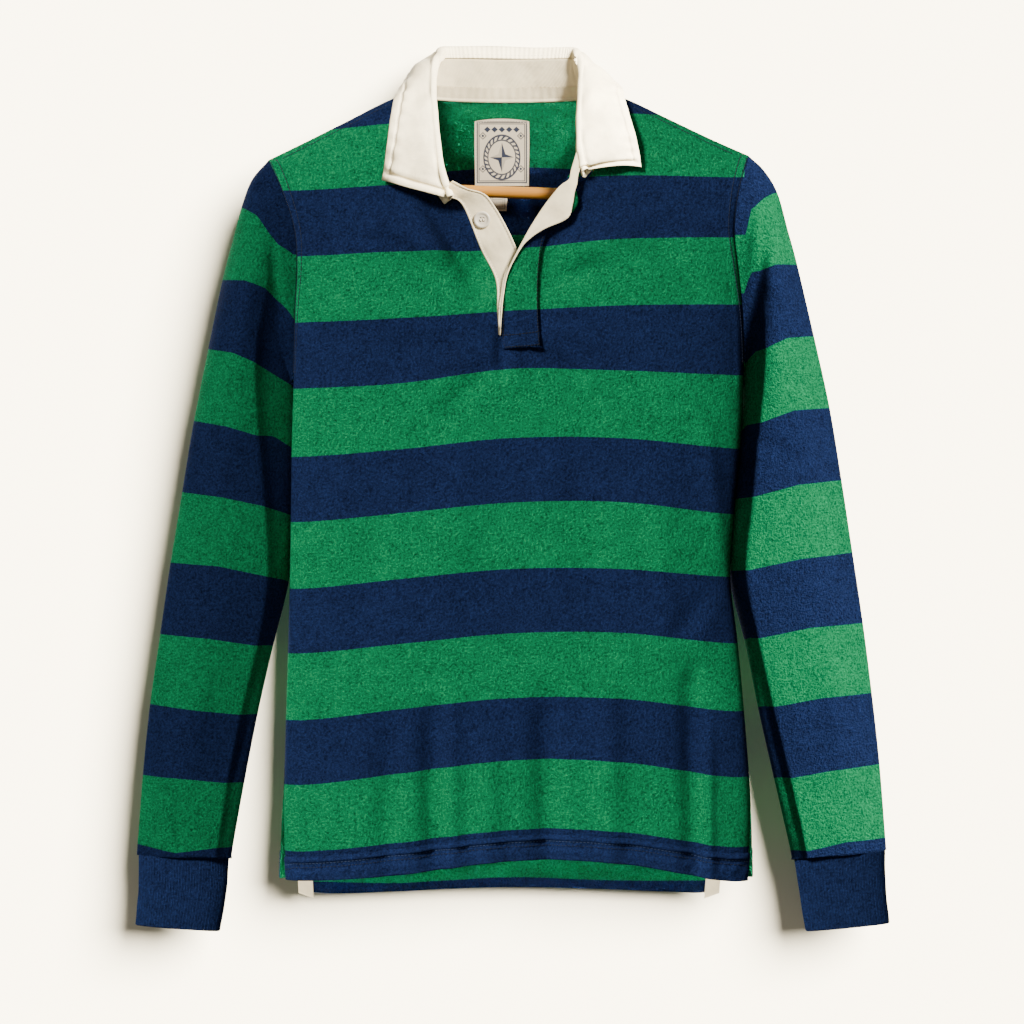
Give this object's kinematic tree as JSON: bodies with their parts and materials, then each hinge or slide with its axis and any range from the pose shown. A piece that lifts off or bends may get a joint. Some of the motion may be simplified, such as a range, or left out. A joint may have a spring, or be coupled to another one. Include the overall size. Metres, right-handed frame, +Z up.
{
  "type": "polo shirt on a hanger",
  "caption": "Long-sleeved striped polo shirt of the rugby kind, with turned-down collar, open placket, ribbed cuffs and vented hem, hanging empty on a plain round-bar hanger.",
  "frame": {"origin": "middle of the hanger's round bar, inside the shirt a little below its back neck seam", "axes": "+Z up, -Y the way the shirt's front faces, +X to the viewer's right when facing the front (the wearer's left)"},
  "size_m": [0.6792, 0.0854, 0.7959],
  "materials": {
    "striped_jersey": "heavy brushed cotton jersey in even 60 mm stripes of strong green and navy, matt",
    "navy_jersey": "navy jersey hem bands and navy ribbed cuffs, matt",
    "cream_twill": "cream cotton twill collar, placket and tapes, matt",
    "label_cloth": "woven cream labels, slight sheen",
    "button_shell": "cream four-hole button, satin gloss",
    "light_wood": "clear-varnished light wood"
  },
  "bodies": {
    "root": {"front_panel": "striped_jersey", "back_panel": "striped_jersey", "front_hem_band": "navy_jersey", "back_hem_band": "navy_jersey", "sleeve_left": "striped_jersey", "sleeve_right": "striped_jersey", "cuff_left": "navy_jersey", "cuff_right": "navy_jersey", "collar_stand": "cream_twill", "collar_leaf": "cream_twill", "neck_tape": "cream_twill", "under_placket": "cream_twill", "over_placket": "striped_jersey", "placket_facing": "cream_twill", "button": "button_shell", "main_label": "label_cloth", "size_label": "label_cloth", "vent_tape_left": "cream_twill", "vent_tape_right": "cream_twill", "hanger_bar": "light_wood", "hanger_arm_left": "light_wood", "hanger_arm_right": "light_wood"}
  },
  "joints": []
}
